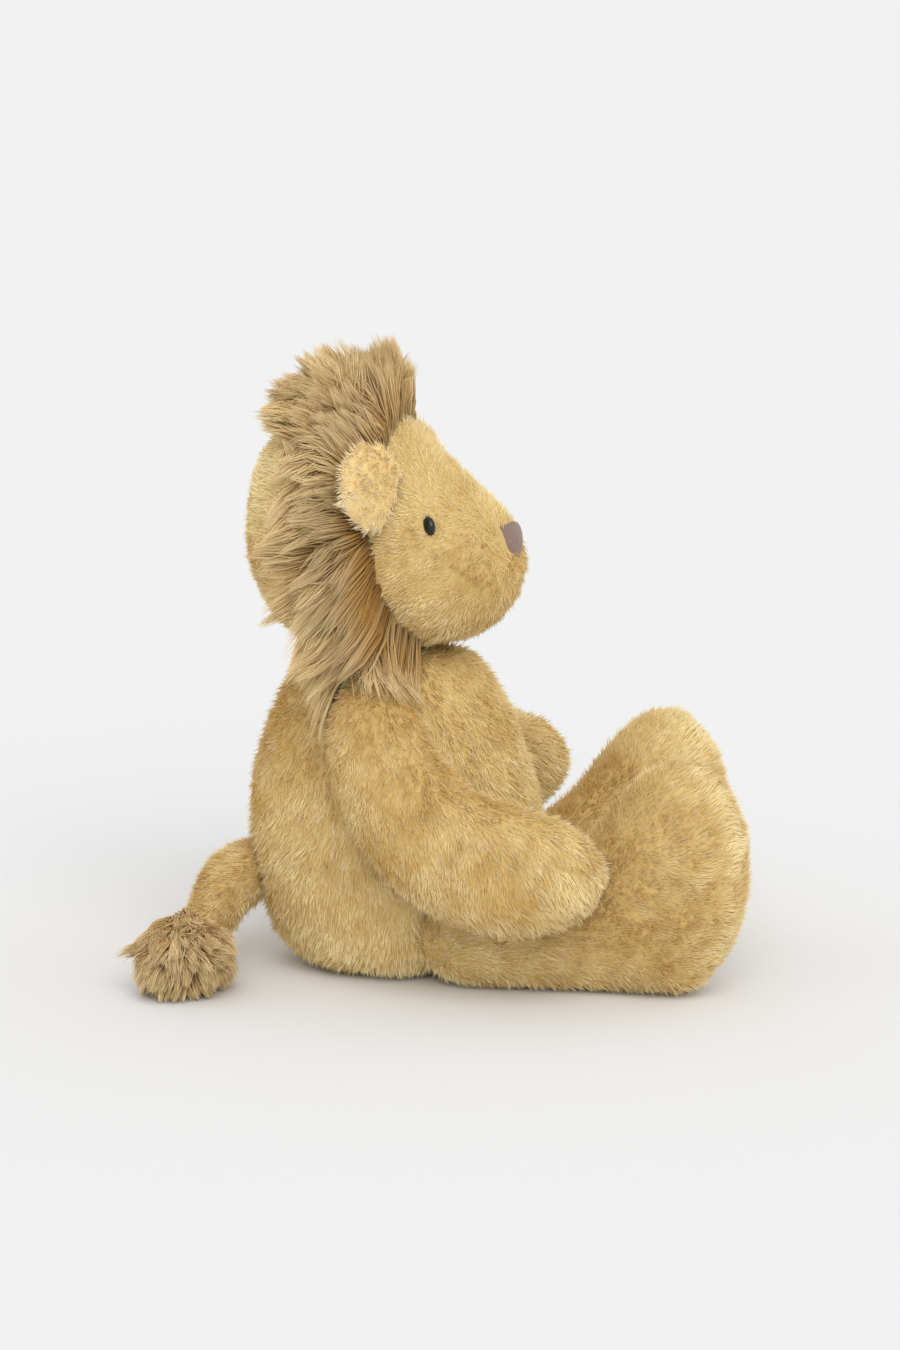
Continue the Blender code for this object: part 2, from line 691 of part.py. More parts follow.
def make_tail(lion, cover, filling):
    root = Vector((torso_back(TAIL_HEIGHT) - TAIL_SET, 0, TAIL_HEIGHT))
    hinge = joint("tail_root", lion, root)
    points = [Vector(p) * TAIL_REACH for p in TAIL_LINE_shares]
    line = bent_line(points, (0, 0, 1))
    tail = Form(line, TAIL_THICK, TAIL_THICK_shares, TAIL_THICK, TAIL_THICK_shares)
    end = math.pi * TAIL_END_share
    place("tail_cover", cover_mesh(tail, 0.0, end, 12, 14), hinge, plush("honey_plush", HONEY))
    stuffing = core_mesh(tail, 0.0, end, 8, 10, CLOTH + FILL_GAP)
    place("tail_stuffing", stuffing, hinge, plush("stuffing", WHITE))
    seat = TAIL_THICK / 2 + 3 * SEAM_GAP
    arc = [math.pi * k / 8 for k in range(9)]
    ball = [(seat * math.sin(a) if 0 < k < 8 else 0, -seat * math.cos(a)) for k, a in enumerate(arc)]
    seat_ball = place("tail_seat", turned_mesh(ball, 16), hinge)
    cut(cover, seat_ball)
    cut(filling, seat_ball)
    centre, up, side = line(end, 0.0)
    along = (up.cross(side)).normalized()
    if along.dot(points[-1] - points[-2]) < 0:
        along = -along
    start = centre + along * 3 * SEAM_GAP
    finish = start + along * TUFT_LONG
    finish.z = start.z + TUFT_DROP_share * TUFT_LONG
    rest = root.z

    def on_ground(point, inset):
        point.z = max(point.z, -rest)
        return point

    tuft_line = bent_line([start.lerp(finish, k / 3) for k in range(4)], (0, 0, 1))
    tuft = Form(tuft_line, TUFT_THICK, TUFT_THICK_shares, TUFT_THICK, TUFT_THICK_shares)
    tuft.locks, tuft.lock = LOCKS // 2, TUFT_LOCK_share
    mesh = core_mesh(tuft, TUFT_START, math.pi, 9, LOCKS, press=on_ground)
    place("tail_tuft", mesh, hinge, plush("mane_pile", BROWN))


def centre_on_origin(lion):
    """Moves the lion so that the origin is the middle of its footprint."""
    bpy.context.view_layer.update()
    low, high = Vector((math.inf,) * 3), Vector((-math.inf,) * 3)
    for piece in bpy.context.scene.objects:
        if piece.type != "MESH" or piece.hide_render:
            continue
        for vertex in piece.data.vertices:
            at = piece.matrix_world @ vertex.co
            low = Vector(map(min, low, at))
            high = Vector(map(max, high, at))
    lion.location = (-(low.x + high.x) / 2, -(low.y + high.y) / 2, 0)
    bpy.context.view_layer.update()


for old in list(bpy.data.objects):
    bpy.data.objects.remove(old)
torso = torso_form()
head = head_form()
lion = joint("lion", None, (0, 0, 0))
torso_cover, torso_stuffing = make_torso(lion)
make_pellet_bag(lion, torso_stuffing)
neck = joint("neck", lion, (-NECK_BACK, 0, NECK_HEIGHT), HEAD_TURN)
face_panel, head_stuffing, head_room = make_head(neck)
mane = make_mane(neck, head_room)
make_nose(neck)
for side, name in ((-1, "right"), (1, "left")):
    make_ear(neck, side, name, head_room, mane)
    make_eye(neck, side, name, face_panel, head_stuffing)
    make_leg(lion, side, name)
make_arm(lion, -1, "right", 0.0, 0.0)
make_arm(lion, 1, "left", LEFT_ARM_RAISE, LEFT_ARM_SPLAY)
make_tail(lion, torso_cover, torso_stuffing)
centre_on_origin(lion)
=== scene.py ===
import json
import math

import bpy
import numpy as np
from mathutils import Matrix, Vector
from mathutils.bvhtree import BVHTree
from mathutils.kdtree import KDTree


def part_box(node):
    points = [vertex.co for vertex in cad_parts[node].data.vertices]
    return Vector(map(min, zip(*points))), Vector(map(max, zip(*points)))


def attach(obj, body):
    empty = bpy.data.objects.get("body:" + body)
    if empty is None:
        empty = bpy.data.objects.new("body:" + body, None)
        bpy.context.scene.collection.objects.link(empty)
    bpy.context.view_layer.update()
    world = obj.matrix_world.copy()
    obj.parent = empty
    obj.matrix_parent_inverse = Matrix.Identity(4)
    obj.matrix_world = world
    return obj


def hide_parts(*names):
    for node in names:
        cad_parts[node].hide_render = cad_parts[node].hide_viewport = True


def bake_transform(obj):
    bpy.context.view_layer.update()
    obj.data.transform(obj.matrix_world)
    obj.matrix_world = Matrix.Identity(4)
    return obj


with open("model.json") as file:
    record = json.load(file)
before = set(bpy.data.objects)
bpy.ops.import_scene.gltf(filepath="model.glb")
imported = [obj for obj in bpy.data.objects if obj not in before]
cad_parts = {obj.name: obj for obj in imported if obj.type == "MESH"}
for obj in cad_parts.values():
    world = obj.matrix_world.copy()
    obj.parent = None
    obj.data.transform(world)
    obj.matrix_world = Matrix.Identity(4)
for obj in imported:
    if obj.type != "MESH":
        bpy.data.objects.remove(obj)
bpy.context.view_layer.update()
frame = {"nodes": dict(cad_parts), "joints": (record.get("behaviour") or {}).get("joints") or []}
hinge = {joint["name"]: Vector(joint["pos_m"]) for joint in frame["joints"]}


# Camera
# A long lens at the height of a person kneeling by the table, straight at the lion's right side.
# The photograph shows 450 mm of height from 1.2 m away.
CAMERA_AWAY = 1.2
CAMERA_RISE = math.radians(10)
LOOKS_AT = Vector((0.0055, -0.0065, 0.0974))
LENS_MM, SENSOR_MM = 96, 36

camera = bpy.data.objects.new("camera", bpy.data.cameras.new("camera"))
bpy.context.scene.collection.objects.link(camera)
camera.location = LOOKS_AT + CAMERA_AWAY * Vector((0, -math.cos(CAMERA_RISE), math.sin(CAMERA_RISE)))
camera.rotation_euler = (math.pi / 2 - CAMERA_RISE, 0, 0)
camera.data.lens = LENS_MM
camera.data.sensor_width = SENSOR_MM
camera.data.clip_start = 0.1
bpy.context.scene.camera = camera


# Floor and light
# A seamless pale sweep under one broad soft box and an even sky. They light the floor so evenly
# that it melts into the backdrop and keeps only the lion's own soft shadow.
PAPER = "F1F1F1"
SWEEP_WIDE = 12
SUN_TURN = (math.radians(50), math.radians(12), 0)
SUN_STRENGTH = 1.52
SUN_SPREAD = math.radians(50)
SKY_STRENGTH = 0.705


def colour(code):
    """A colour written as sRGB hex, as linear red, green, blue and alpha."""
    parts = [int(code[i : i + 2], 16) / 255 for i in (0, 2, 4)]
    return (*(c / 12.92 if c <= 0.04045 else ((c + 0.055) / 1.055) ** 2.4 for c in parts), 1.0)


def node(material, kind, links=(), values=(), **settings):
    """Adds a node: links are (socket, from, output), values (socket, number), settings properties."""
    made = material.node_tree.nodes.new("ShaderNode" + kind)
    for key, value in settings.items():
        setattr(made, key, value)
    for socket, value in values:
        made.inputs[socket].default_value = value
    for socket, source, output in links:
        material.node_tree.links.new(source.outputs[output], made.inputs[socket])
    return made


bpy.ops.object.select_all(action="DESELECT")
bpy.ops.mesh.primitive_plane_add(size=SWEEP_WIDE, location=(0, 0, 0))
sweep = bpy.context.object
sweep.name = "paper_sweep"
paper = bpy.data.materials.new("matt_paper")
paper.use_nodes = True
paper_shader = paper.node_tree.nodes["Principled BSDF"]
paper_shader.inputs["Base Color"].default_value = colour(PAPER)
paper_shader.inputs["Roughness"].default_value = 1.0
paper_shader.inputs["Specular IOR Level"].default_value = 0.0
sweep.data.materials.append(paper)

sun = bpy.data.objects.new("soft_box", bpy.data.lights.new("soft_box", "SUN"))
bpy.context.scene.collection.objects.link(sun)
sun.rotation_euler = SUN_TURN
sun.data.energy = SUN_STRENGTH
sun.data.angle = SUN_SPREAD

world = bpy.data.worlds.new("studio")
bpy.context.scene.world = world
world.use_nodes = True
sky = world.node_tree.nodes["Background"]
sky.inputs["Strength"].default_value = SKY_STRENGTH
sky.inputs["Color"].default_value = (1, 1, 1, 1)
paper_sky = node(world, "Background", values=[("Color", colour(PAPER)), ("Strength", 1.0)])
paths = node(world, "LightPath")
seen = node(world, "Math", [(0, paths, "Is Camera Ray"), (1, paths, "Is Glossy Ray")], operation="MAXIMUM")
studio = node(world, "MixShader", [(0, seen, 0), (1, sky, 0), (2, paper_sky, 0)])
world.node_tree.links.new(studio.outputs[0], world.node_tree.nodes["World Output"].inputs["Surface"])
bpy.context.scene.view_settings.view_transform = "Standard"


# Body
# The body is a firmly stuffed bag of short plush, closed under the neck. The bag is puffed by a
# cloth simulation, and its pile is combed down from the neck. The colours run from the hair's
# root to its tip, darker at the root as painted shade deep in the pile and paler at the tip as
# painted light, and from an ochre hair to a straw one.
SINK = 0.0016                            # from the pile's tips down to the knitted backing
ROUNDINGS = 8                            # passes of smoothing that a bag gets
PRESSURE = 1.0
PUFF = 0.0012                            # how far the simulation may move a bag's cloth
SETTLE_FRAMES = 20
SEAM_WIDE = 0.0022
BACKING = "D3B778"
# Along each hair: the darker root is painted shade deep in the pile, the paler tip painted light.
SHADED_ROOT, MIDDLE, LIT_TIP = "CA9E4C", "EDCE80", "FDEFC2"
OCHRE, STRAW = "BE8E38", "FFF3C8"
PILE = 0.0040
PILE_THICK = 0.00052
LEAN = 0.78                              # how much of a hair's heading lies along the cloth
STIFF_SHARE, STIFFER = 0.25, 0.32        # the share of hairs that lean less, and how much less
ROLL = 0.18                              # how far a hair's flat side turns from facing out
ROOT_DEEP = 0.0005                       # how far a hair starts below the cloth
FLOOR_GAP = 0.0005
HAIRS_PER_CLUMP, CLUMP_PULL = 10, 0.28   # how far the tips of a clump draw together
PATCH, FLECK = 0.034, 0.011              # how far apart the pile's darker patches and flecks are
PATCH_DEPTH, FLECK_DEPTH = 0.40, 0.32
WHORLS, WHORL_SHARE = 0.026, 0.45        # how far apart the whorls are, how much they turn the comb
SHORTEST, LONGER = 0.72, 0.42            # a hair's least share of its length, and the most on top
HEADING_NOISE = 0.11
CLUMP_TINT, HAIR_TINT = 0.24, 0.24       # how much a clump's and a hair's own shade varies
FROM_NECK = hinge["neck_turn"] + Vector((0.01, 0, 0.05))
CHEST = FROM_NECK + Vector((0.022, 0, -0.064))
CHEST_WIDE, CHEST_SWELL = 0.026, 0.0042
# How far ahead the painted light on the belly reaches, and how high that on the seat goes.
BELLY_AHEAD = 0.04
SEAT_TOP = 0.04


def copied(name, nodes):
    """One loose mesh from CAD nodes, its triangles merged."""
    bpy.ops.object.select_all(action="DESELECT")
    for label in nodes:
        piece = bpy.data.objects.new(name, frame["nodes"][label].data.copy())
        bpy.context.scene.collection.objects.link(piece)
        piece.data.materials.clear()
        piece.select_set(True)
        bpy.context.view_layer.objects.active = piece
    if len(nodes) > 1:
        bpy.ops.object.join()
    piece = bpy.context.view_layer.objects.active
    bpy.ops.object.mode_set(mode="EDIT")
    bpy.ops.mesh.select_all(action="SELECT")
    bpy.ops.mesh.remove_doubles(threshold=1e-6)
    bpy.ops.object.mode_set(mode="OBJECT")
    piece.name = name
    return piece


def apply(piece, kind, **settings):
    """Adds a modifier and applies it."""
    change = piece.modifiers.new(kind, kind)
    for key, value in settings.items():
        setattr(change, key, value)
    bpy.ops.object.select_all(action="DESELECT")
    piece.select_set(True)
    bpy.context.view_layer.objects.active = piece
    bpy.ops.object.modifier_apply(modifier=change.name)


def outer_shell(piece):
    """Keeps the largest closed surface and drops the hollows inside it."""
    bpy.ops.object.select_all(action="DESELECT")
    piece.select_set(True)
    bpy.context.view_layer.objects.active = piece
    name = piece.name
    bpy.ops.object.mode_set(mode="EDIT")
    bpy.ops.mesh.select_all(action="SELECT")
    bpy.ops.mesh.separate(type="LOOSE")
    bpy.ops.object.mode_set(mode="OBJECT")
    shells = sorted(bpy.context.selected_objects, key=lambda shell: -shell.dimensions.length)
    for extra in shells[1:]:
        bpy.data.objects.remove(extra)
    shells[0].name = name
    return shells[0]


def bag(name, nodes, voxel, sink, convex=False):
    """A smooth closed cloth bag as large as some CAD nodes together, less the pile.

    `convex` takes the nodes' hull, which closes an open neck.
    """
    piece = copied(name, nodes)
    if convex:
        bpy.ops.object.mode_set(mode="EDIT")
        bpy.ops.mesh.select_all(action="SELECT")
        bpy.ops.mesh.convex_hull()
        bpy.ops.object.mode_set(mode="OBJECT")
    apply(piece, "REMESH", mode="VOXEL", voxel_size=voxel)
    piece = outer_shell(piece)
    apply(piece, "SMOOTH", factor=0.5, iterations=ROUNDINGS)
    apply(piece, "DISPLACE", strength=-sink, mid_level=0.0)
    return piece


def stuff(piece, most=PUFF):
    """Puffs a bag by a cloth simulation in which nothing moves further than `most`."""
    start = np.array([v.co for v in piece.data.vertices])
    cloth = piece.modifiers.new("stuffing", "CLOTH")
    cloth.settings.quality = 5
    cloth.settings.use_pressure = True
    cloth.settings.uniform_pressure_force = PRESSURE
    cloth.settings.effector_weights.gravity = 0
    for number in range(1, SETTLE_FRAMES + 1):
        bpy.context.scene.frame_set(number)
    puffing = piece.evaluated_get(bpy.context.evaluated_depsgraph_get())
    puffed = np.array([v.co for v in puffing.to_mesh().vertices])
    puffing.to_mesh_clear()
    piece.modifiers.remove(cloth)
    bpy.context.scene.frame_set(1)
    step = puffed - start
    size = np.linalg.norm(step, axis=1, keepdims=True)
    step *= np.minimum(1.0, most / np.maximum(size, 1e-9))
    piece.data.vertices.foreach_set("co", (start + step).astype(np.float32).ravel())
    piece.data.update()


def groove(piece, place, normal, deep, where):
    """Draws a skin in along the line where it meets a seam's plane, as the thread does."""
    at = np.array([v.co for v in piece.data.vertices])
    facing = np.array([v.normal for v in piece.data.vertices])
    away = (at - np.array(place)) @ np.array(normal)
    inward = deep * np.exp(-((away / SEAM_WIDE) ** 2)) * where(at)
    piece.data.vertices.foreach_set("co", (at - facing * inward[:, None]).astype(np.float32).ravel())
    piece.data.update()


def ripple(points, length, turn):
    """A smooth wave in space from -1 to 1, about `length` across: three waves in unlike directions.

    A slower wave bends them, so that they don't line up in stripes.
    """
    k = 2 * math.pi / length
    x, y, z = (points + 0.25 * length * np.sin(0.55 * k * points[:, [1, 2, 0]] + turn)).T
    return (
        np.sin(k * (x + 0.7 * y) + turn)
        + np.sin(k * (0.8 * z - 0.5 * y + 0.3 * x) * 1.3 + 2.1 * turn)
        + np.sin(k * (0.6 * x - 0.9 * z) * 0.8 + 3.7 * turn)
    ) / 3


def whorls(points, length, seed):
    """A smooth random direction at each point, with whorls about `length` apart."""
    return np.stack([ripple(points, length, seed + k) for k in (0.3, 1.7, 2.9)], axis=1)


def roots_on(skin, count, dice, where=None):
    """Seeded points spread over a skin, and the skin's normals there."""
    mesh = skin.data
    mesh.calc_loop_triangles()
    corners = np.array([t.vertices for t in mesh.loop_triangles])
    at = np.array([v.co for v in mesh.vertices])
    facing = np.array([v.normal for v in mesh.vertices])
    a, b, c = at[corners[:, 0]], at[corners[:, 1]], at[corners[:, 2]]
    area = np.linalg.norm(np.cross(b - a, c - a), axis=1)
    if where is not None:
        area = area * where((a + b + c) / 3)
    pick = dice.choice(len(area), count, p=area / area.sum())
    u, v = dice.random(count), dice.random(count)
    flip = u + v > 1
    u[flip], v[flip] = 1 - u[flip], 1 - v[flip]
    share = np.stack([1 - u - v, u, v], axis=1)[:, :, None]
    roots = (at[corners[pick]] * share).sum(axis=1)
    normals = (facing[corners[pick]] * share).sum(axis=1)
    return roots, unit(normals)


def unit(vectors):
    """The vectors made 1 long."""
    return vectors / np.maximum(np.linalg.norm(vectors, axis=1, keepdims=True), 1e-9)


def clumped(roots, per_clump, dice):
    """Hairs cling together: each root's clump, and the root in that clump's middle."""
    clumps = max(2, len(roots) // per_clump)
    middles = dice.choice(len(roots), clumps, replace=False)
    tree = KDTree(clumps)
    for i, m in enumerate(middles):
        tree.insert(roots[m], i)
    tree.balance()
    mine = np.array([tree.find(r)[1] for r in roots])
    return mine, middles[mine]


def hairs(name, lines, facing, thick, profile, shade, dice):
    """A mesh of closed three-sided hairs along lines of points.

    Each hair is flat shaded and has a side turned out, so that the pile is lit like the skin
    beneath it. Its shade and height go into its UVs, 1% inside their edges. Its three corners are
    a little apart in u, so that no face is empty in the UV map.
    """
    count, levels = lines.shape[0], lines.shape[1] - 1
    along = unit(lines[:, -1] - lines[:, 0])
    top = unit(facing + ROLL * dice.normal(size=(count, 3)))
    top = unit(top - along * (top * along).sum(axis=1, keepdims=True))
    side = np.cross(top, along)
    width = thick * (0.75 + 0.5 * dice.random(count))
    rings = []
    for level in range(levels):
        for a in np.radians((30, 150, 270)):
            round_way = math.cos(a) * side + math.sin(a) * top
            rings.append(lines[:, level] + (width * profile[level] / 2)[:, None] * round_way)
    rings.append(lines[:, -1])
    points = np.stack(rings, axis=1)
    per = points.shape[1]
    faces = [(0, 2, 1)]
    for level in range(levels - 1):
        for corner in range(3):
            n = (corner + 1) % 3
            low, high = 3 * level, 3 * level + 3
            faces += [(low + corner, low + n, high + n), (low + corner, high + n, high + corner)]
    last = 3 * (levels - 1)
    faces += [(last + corner, last + (corner + 1) % 3, per - 1) for corner in range(3)]
    faces = np.array(faces)
    corners = (faces[None] + (np.arange(count) * per)[:, None, None]).reshape(-1)
    mesh = bpy.data.meshes.new(name)
    mesh.vertices.add(count * per)
    mesh.vertices.foreach_set("co", points.astype(np.float32).ravel())
    mesh.loops.add(len(corners))
    mesh.loops.foreach_set("vertex_index", corners.astype(np.int32))
    mesh.polygons.add(len(corners) // 3)
    mesh.polygons.foreach_set("loop_start", np.arange(0, len(corners), 3, dtype=np.int32))
    heights = np.array([i // 3 / levels for i in range(per)])
    spread = np.array([(i % 3) * 0.002 for i in range(per)])
    u = (0.01 + 0.97 * np.clip(shade, 0, 1))[:, None] + spread[None]
    v = np.repeat(0.01 + 0.98 * heights[None], count, axis=0)
    uv = np.stack([u, v], axis=2).reshape(-1, 2)[corners]
    layer = mesh.uv_layers.new(name="OFBake")
    layer.uv.foreach_set("vector", uv.astype(np.float32).ravel())
    mesh.update(calc_edges=True)
    mesh.shade_flat()
    piece = bpy.data.objects.new(name, mesh)
    bpy.context.scene.collection.objects.link(piece)
    return piece


def pile(name, skin, count, source, seed, length=PILE, lean=LEAN, where=None, pale=None, toward=(0, 0, 0)):
    """Short plush pile, combed away from the source and gathered into small clumps.

    `where` gives the share of pile that grows at a place, `pale` how much paler it is there, and
    `toward` the way that the hairs' flat sides are turned to.
    """
    dice = np.random.default_rng(seed)
    roots, normals = roots_on(skin, count, dice, where)
    flow = unit(roots - np.array(source)) + WHORL_SHARE * whorls(roots, WHORLS, seed)
    flow = unit(flow - normals * (flow * normals).sum(axis=1, keepdims=True))
    stiff = STIFFER * (dice.random(count) < STIFF_SHARE)
    leaning = np.clip(lean - stiff + 0.08 * ripple(roots, 0.030, seed + 5), 0.2, 0.9)[:, None]
    heading = unit(normals * (1 - leaning) + flow * leaning + HEADING_NOISE * dice.normal(size=roots.shape))
    reach = length * (SHORTEST + LONGER * dice.random(count) + 0.12 * ripple(roots, 0.013, seed + 8))
    tips = roots + heading * reach[:, None]
    own = clumped(roots, HAIRS_PER_CLUMP, dice)[1]
    tips += (tips[own] - tips) * CLUMP_PULL
    clump = dice.random(count)[own]
    shade = (
        0.5 + PATCH_DEPTH * ripple(roots, PATCH, seed + 11) + FLECK_DEPTH * ripple(roots, FLECK, seed + 13)
        + CLUMP_TINT * (clump - 0.5) + HAIR_TINT * (dice.random(count) - 0.5)
    )
    if pale is not None:
        shade = shade + pale(roots)
    lines = np.stack([roots - normals * ROOT_DEEP, tips], axis=1)
    lines[:, :, 2] = np.maximum(lines[:, :, 2], FLOOR_GAP)
    return hairs(name, lines, normals + np.array(toward), PILE_THICK, (1.0,), shade, dice)


def plush_finish(name, root, middle, tip, deep, pale):
    """Polyester plush: matt with a little sheen.

    Half of its colour goes from root to tip along the hair, darker at the root as painted shade
    deep in the pile and paler at the tip as painted light, half from deep to pale by its shade.
    """
    material = bpy.data.materials.new(name)
    material.use_nodes = True
    tree = material.node_tree
    shader = tree.nodes["Principled BSDF"]
    shader.inputs["Roughness"].default_value = 0.9
    shader.inputs["Specular IOR Level"].default_value = 0.06
    shader.inputs["Sheen Weight"].default_value = 0.08
    shader.inputs["Sheen Roughness"].default_value = 0.4
    shader.inputs["Sheen Tint"].default_value = colour(tip)
    uv = node(material, "UVMap", uv_map="OFBake")
    parts = node(material, "SeparateXYZ", [(0, uv, 0)])
    up = node(material, "ValToRGB", [(0, parts, "Y")])
    across = node(material, "ValToRGB", [(0, parts, "X")])
    # Along the hair: the darker root is painted shade deep in the pile, the paler tip painted light.
    for ramp, stops in ((up, ((0, root), (0.4, middle), (0.9, tip))), (across, ((0, deep), (1, pale)))):
        while len(ramp.color_ramp.elements) < len(stops):
            ramp.color_ramp.elements.new(0.5)
        for element, (place, code) in zip(ramp.color_ramp.elements, stops):
            element.position = place
            element.color = colour(code)
    mixed = node(material, "MixRGB", [("Color1", up, 0), ("Color2", across, 0)], [("Fac", 0.5)])
    tree.links.new(mixed.outputs[0], shader.inputs["Base Color"])
    return material


def mottled_finish(name, tones, roughness, specular, sheen, grain, bump):
    """A matt surface with a fine mottle between two tones, and the same grain as a slight relief.

    `grain` is the noise's scale and detail, `bump` its strength and depth.
    """
    material = bpy.data.materials.new(name)
    material.use_nodes = True
    tree = material.node_tree
    shader = tree.nodes["Principled BSDF"]
    shader.inputs["Roughness"].default_value = roughness
    shader.inputs["Specular IOR Level"].default_value = specular
    shader.inputs["Sheen Weight"].default_value = sheen
    place = node(material, "TexCoord")
    noise = node(material, "TexNoise", [("Vector", place, "Object")], zip(("Scale", "Detail"), grain))
    tone = node(material, "ValToRGB", [(0, noise, 0)])
    for element, shade in zip(tone.color_ramp.elements, tones):
        element.color = shade
    relief = node(material, "Bump", [("Height", noise, 0)], zip(("Strength", "Distance"), bump))
    tree.links.new(tone.outputs[0], shader.inputs["Base Color"])
    tree.links.new(relief.outputs[0], shader.inputs["Normal"])
    return material


def backing_finish(name, code):
    """The knitted backing between the hairs, and moulded plastic: a 1 mm mottle round one colour."""
    tones = [(*(c * share for c in colour(code)[:3]), 1) for share in (0.8, 1.15)]
    return mottled_finish(name, tones, 0.95, 0.1, sheen=0.0, grain=(1000.0, 2.0), bump=(0.4, 0.0004))


honey = plush_finish("honey_polyester_plush", SHADED_ROOT, MIDDLE, LIT_TIP, OCHRE, STRAW)
honey_backing = backing_finish("honey_knitted_backing", BACKING)


def finish_skin(piece, material, nodes):
    """Smooths a bag's skin, gives it its material and hides the solids that it stands for."""
    apply(piece, "SUBSURF", levels=1, render_levels=1)
    piece.data.materials.clear()
    piece.data.materials.append(material)
    piece.data.shade_smooth()
    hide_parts(*nodes)


def belly_painted_light(roots):
    """Painted light: the belly and the seat, which the lamps light less, are paler.
    The back is a little darker.
    """
    frontal = np.clip(roots[:, 0] / BELLY_AHEAD, -0.8, 1)
    return 0.08 + 0.26 * frontal + 0.2 * (roots[:, 2] < SEAT_TOP)


body = bag("body", ["torso_cover", "torso_stuffing"], voxel=0.005, sink=SINK, convex=True)
stuff(body)
for vertex in body.data.vertices:
    away = (vertex.co - CHEST).length / CHEST_WIDE
    vertex.co.x += CHEST_SWELL * math.exp(-away * away)
finish_skin(body, honey_backing, ["torso_cover", "torso_stuffing", "pellet_bag"])
# The body's pile carries painted light on the belly and the seat.
body_pile = pile("body_pile", body, count=49000, source=FROM_NECK, seed=11, pale=belly_painted_light)
body_pile.data.materials.append(honey)
for piece in (body, body_pile):
    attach(piece, "torso")


# Legs
# Each leg is one long bag with a flat sole sewn into its end, so the toes stand up. The sole's
# seam draws the skin in round the foot.
LEG_SPLAY = math.radians(12.8)
SOLE_SEAM = 0.0815                       # from the hip to the sole's seam
SOLE_SEAM_DEEP = 0.0007
# Where the painted shade at the instep, the painted light on the toes and the painted light on the
# underside lie.
INSTEP_FORWARD, INSTEP_UP, INSTEP_WIDE = 0.050, 0.034, 0.024
TOES_FORWARD, TOES_UP = 0.082, 0.052     # where the paler toes start, from the hip and the floor
UNDERSIDE = 0.018


def everywhere(points):
    """1 at every point."""
    return np.ones(len(points))


def foot_painted_light_and_shade(hip, along):
    """The foot's middle, beside the hand, is darker: deeper ochre, with painted shade from the hand.
    The toes and the sole are paler, with painted light where the tips catch it at the top of the
    foot. The underside is paler, painted light where the lamps light it less.
    """
    def pale(roots):
        forward, up = (roots - np.array(hip)) @ np.array(along), roots[:, 2]
        ahead_of, above = (forward - INSTEP_FORWARD) / INSTEP_WIDE, (up - INSTEP_UP) / INSTEP_WIDE
        instep = np.exp(-(ahead_of ** 2) - above ** 2)
        toes = np.clip((up - TOES_UP) / 0.014, 0, 1) + np.clip((forward - TOES_FORWARD) / 0.010, 0, 1)
        # Painted shade at the instep; painted light on the toes and the underside.
        return 0.36 * toes - 0.50 * instep + 0.2 * (up < UNDERSIDE)
    return pale


for side, name in ((-1, "right"), (1, "left")):
    hip = hinge[f"{name}_hip_swing"]
    nodes = [f"{name}_leg_cover", f"{name}_sole", f"{name}_leg_stuffing"]
    leg = bag(f"{name}_leg", nodes, voxel=0.004, sink=SINK / 4)
    stuff(leg)
    finish_skin(leg, honey_backing, nodes)
    along = Vector((math.cos(LEG_SPLAY), side * math.sin(LEG_SPLAY), 0))
    groove(leg, hip + along * SOLE_SEAM, along, SOLE_SEAM_DEEP, everywhere)
    from_hip = hip - Vector((0.02, 0, 0.01))
    leg_pile = pile(
        f"{name}_leg_pile", leg, count=36000, source=from_hip, seed=21 + side, pale=foot_painted_light_and_shade(hip, along)
    )
    leg_pile.data.materials.append(honey)
    for piece in (leg, leg_pile):
        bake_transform(piece)


# Arms
# Each arm is a bent bag of two panels, sewn to the body by its top. Its long seam draws the
# skin in along the underside.
ARM_SEAM_DEEP = 0.0008
ARM_SLOPE = 0.35                         # how steeply an arm comes down towards its hand
# The painted light on the hand starts this far ahead.
HAND_AHEAD = 0.02                        # where an arm starts to turn paler


def on_underside(middle):
    """1 along an arm's long seam, on its underside, falling to 0 beside it."""
    def seam(points):
        beside = np.exp(-(((points[:, 1] - middle[1]) / SEAM_WIDE) ** 2))
        below = points[:, 2] < middle[2] - ARM_SLOPE * (points[:, 0] - middle[0]) - 0.008
        return beside * below
    return seam


def arm_painted_light(seam):
    """Painted light: the hand is paler, where the lamps light it less. The seam under the arm is
    paler too, and the upper arm darker.
    """
    def pale(roots):
        return 0.35 * seam(roots) - 0.20 + 0.50 * np.clip((roots[:, 0] - HAND_AHEAD) / 0.03, 0, 1)
    return pale


arms = []
for side, name in ((-1, "right"), (1, "left")):
    shoulder = hinge[f"{name}_shoulder_swing"]
    nodes = [f"{name}_arm_cover", f"{name}_arm_stuffing"]
    arm = bag(f"{name}_arm", nodes, voxel=0.0035, sink=SINK)
    stuff(arm)
    finish_skin(arm, honey_backing, nodes)
    arms.append(arm)
    middle = np.mean([v.co for v in arm.data.vertices], axis=0)
    seam = on_underside(middle)
    groove(arm, middle, (0, 1, 0), ARM_SEAM_DEEP, seam)
    from_top = shoulder + Vector((0, 0, 0.03))
    arm_pile = pile(
        f"{name}_arm_pile", arm, count=24000, source=from_top, seed=31 + side, pale=arm_painted_light(seam)
    )
    arm_pile.data.materials.append(honey)
    for piece in (arm, arm_pile):
        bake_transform(piece)


# Tail
# A thin stuffed tube sewn into the seat of the back. Its middle hangs a little lower and nearer
# the body than the solid does.
tail_root = hinge["tail_swing"]
TAIL_MIDDLE = tail_root + Vector((-0.022, -0.012, -0.008))
TAIL_SAG, TAIL_SAG_LONG = Vector((0.008, 0, -0.008)), 0.019

